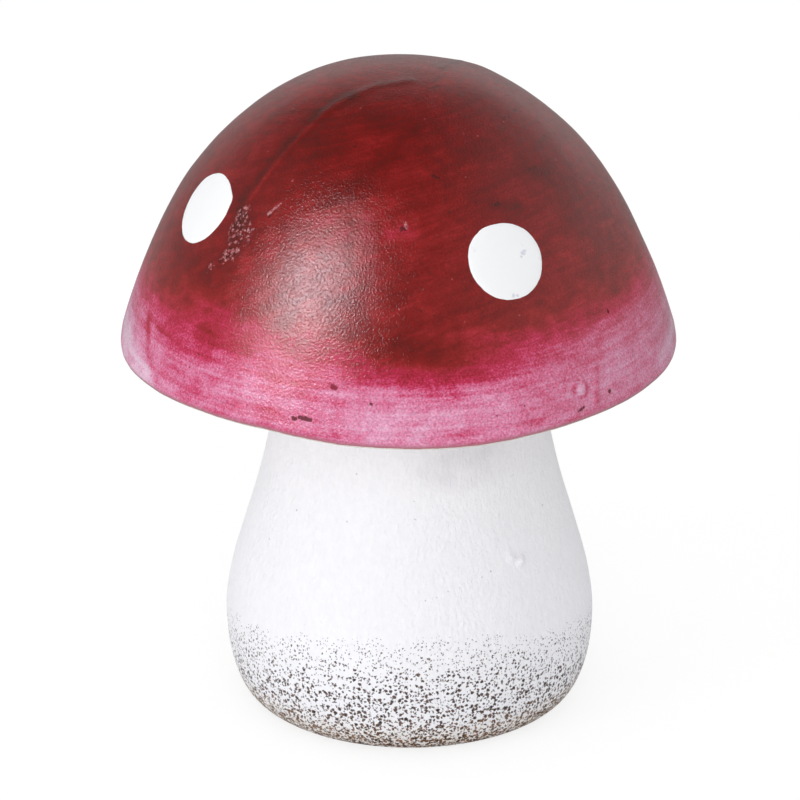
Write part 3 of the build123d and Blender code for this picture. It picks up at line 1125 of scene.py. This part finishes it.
def spot_faces(lower):
    """Faces of a spot's upper side, and of its under side, whose points begin at lower."""
    faces = []
    for k in range(SPOT_COLUMNS):
        following = (k + 1) % SPOT_COLUMNS
        faces.append((0, 1 + k, 1 + following))
        faces.append((lower, lower + 1 + following, lower + 1 + k))
        for start in range(1, 1 + (SPOT_RINGS - 1) * SPOT_COLUMNS, SPOT_COLUMNS):
            after = start + SPOT_COLUMNS
            faces.append((start + k, after + k, after + following, start + following))
            # Both sides share the outermost ring
            below = lower + start
            beyond = below + SPOT_COLUMNS if after + SPOT_COLUMNS < lower else after
            faces.append((below + following, beyond + following, beyond + k, below + k))
    return faces


def add_spot(node, degrees, distance, reach, width, corner_height, corner, material):
    angle, edge = spot_edge(degrees, reach, corner_height, corner)
    share = np.linspace(0, 1, SPOT_RINGS + 1)[:, None]
    down = distance + share * edge * np.cos(angle)
    side = share * edge * np.sin(angle) * width
    azimuth = math.radians(degrees) + side / dome_section(down)[0]
    points, normals = on_dome(azimuth.ravel(), down.ravel())
    relief = cap_relief(points, down.ravel())
    falling = np.broadcast_to(share**SPOT_EDGE_POWER, down.shape).ravel()
    lift = SPOT_THICKNESS * (1 - falling) - SPOT_EDGE_SUNK * falling + waves(points, SPOT_WAVES)
    # The innermost ring is a single point, and the under side ends one ring before the edge
    over = (points + normals * (relief + lift)[:, None])[SPOT_COLUMNS - 1:]
    under = (points + normals * (relief - SPOT_UNDER_SUNK)[:, None])[SPOT_COLUMNS - 1:-SPOT_COLUMNS]
    add_piece(node + "_dab", node, np.vstack([over, under]), spot_faces(len(over)), material)


def aim(thing, target, azimuth, elevation, distance):
    """Sets a lamp or camera at a distance from its target and turns it there. Angles are in degrees."""
    turn, rise = math.radians(azimuth), math.radians(elevation)
    back = Vector((math.sin(turn) * math.cos(rise), -math.cos(turn) * math.cos(rise), math.sin(rise)))
    thing.location = Vector(target) * MM + back * distance * MM
    thing.rotation_euler = (-back).to_track_quat("-Z", "Y").to_euler()


def add_lamp(name, azimuth, elevation, width, height, power):
    lamp = bpy.data.lights.new(name, "AREA")
    lamp.shape = "ELLIPSE"
    lamp.size = width * MM
    lamp.size_y = height * MM
    lamp.energy = power
    holder = bpy.data.objects.new(name, lamp)
    bpy.context.scene.collection.objects.link(holder)
    aim(holder, LAMP_TARGET, azimuth, elevation, LAMP_DISTANCE)
    return holder


def add_lamps():
    """Two soft lamps that light the paint, and one that only shows as the gleam on the gloss."""
    for lamp in SOFT_LAMPS:
        add_lamp(*lamp).visible_glossy = False
    gleam = add_lamp(*GLEAM_LAMP)
    gleam.rotation_euler.rotate_axis("Z", math.radians(GLEAM_ROLL))
    gleam.visible_diffuse = False
    gleam.data.color = GLEAM_TINT


def add_world():
    """White all round to the camera, an even light on the paint, and dim surroundings in its gloss."""
    world = bpy.data.worlds.new("studio")
    bpy.context.scene.world = world
    world.use_nodes = True
    n = Nodes(world.node_tree)
    heading = n.node("ShaderNodeTexCoord").outputs["Generated"]
    path = n.node("ShaderNodeLightPath").outputs

    def total(lights):
        level = 0.0
        for axis, start, end, low, high in lights:
            level = n.plus(level, n.spread(n.coordinate(heading, axis), start, end, low, high))
        return level

    strength = n.spread(path["Is Glossy Ray"], 0.0, 1.0, total(WORLD_LIT), total(WORLD_MIRRORED))
    strength = n.spread(path["Is Camera Ray"], 0.0, 1.0, strength, 1.0)
    background = world.node_tree.nodes["Background"]
    n.put(background.inputs["Color"], (1, 1, 1, 1))
    n.put(background.inputs["Strength"], strength)


def floor_white():
    """White with a faint shadow to the camera, dim in the gloss, and plain to all other light."""
    n = Paint("white_floor")
    glow = n.node("ShaderNodeEmission")
    n.put(glow.inputs["Strength"], FLOOR_GLOW)
    seen = n.node("ShaderNodeAddShader")
    n.put(seen.inputs[0], n.matt(FLOOR_SEEN))
    n.put(seen.inputs[1], glow.outputs[0])
    path = n.node("ShaderNodeLightPath").outputs
    unseen = n.choice(path["Is Glossy Ray"], n.matt(FLOOR_PLAIN), n.matt(FLOOR_MIRRORED))
    return n.surface(n.choice(path["Is Camera Ray"], unseen, seen.outputs[0]))


def add_floor():
    half = FLOOR_WIDTH / 2 * MM
    corners = [(-half, -half, 0), (half, -half, 0), (half, half, 0), (-half, half, 0)]
    mesh = bpy.data.meshes.new("floor")
    mesh.from_pydata(corners, [], [(0, 1, 2, 3)])
    mesh.materials.append(floor_white())
    floor = bpy.data.objects.new("floor", mesh)
    bpy.context.scene.collection.objects.link(floor)


def add_camera():
    camera = bpy.data.cameras.new("camera")
    camera.lens = CAMERA_LENS
    camera.sensor_width = CAMERA_SENSOR
    camera.clip_end = CAMERA_CLIP * MM
    eye = bpy.data.objects.new("camera", camera)
    bpy.context.scene.collection.objects.link(eye)
    aim(eye, CAMERA_TARGET, 0, CAMERA_ELEVATION, CAMERA_DISTANCE)
    bpy.context.scene.camera = eye


add_cap()
add_stem()
add_slip()
dab = spot_paint()
for spot in SPOTS:
    add_spot(*spot, dab)
add_world()
add_lamps()
add_floor()
add_camera()
bpy.context.scene.view_settings.view_transform = "Standard"
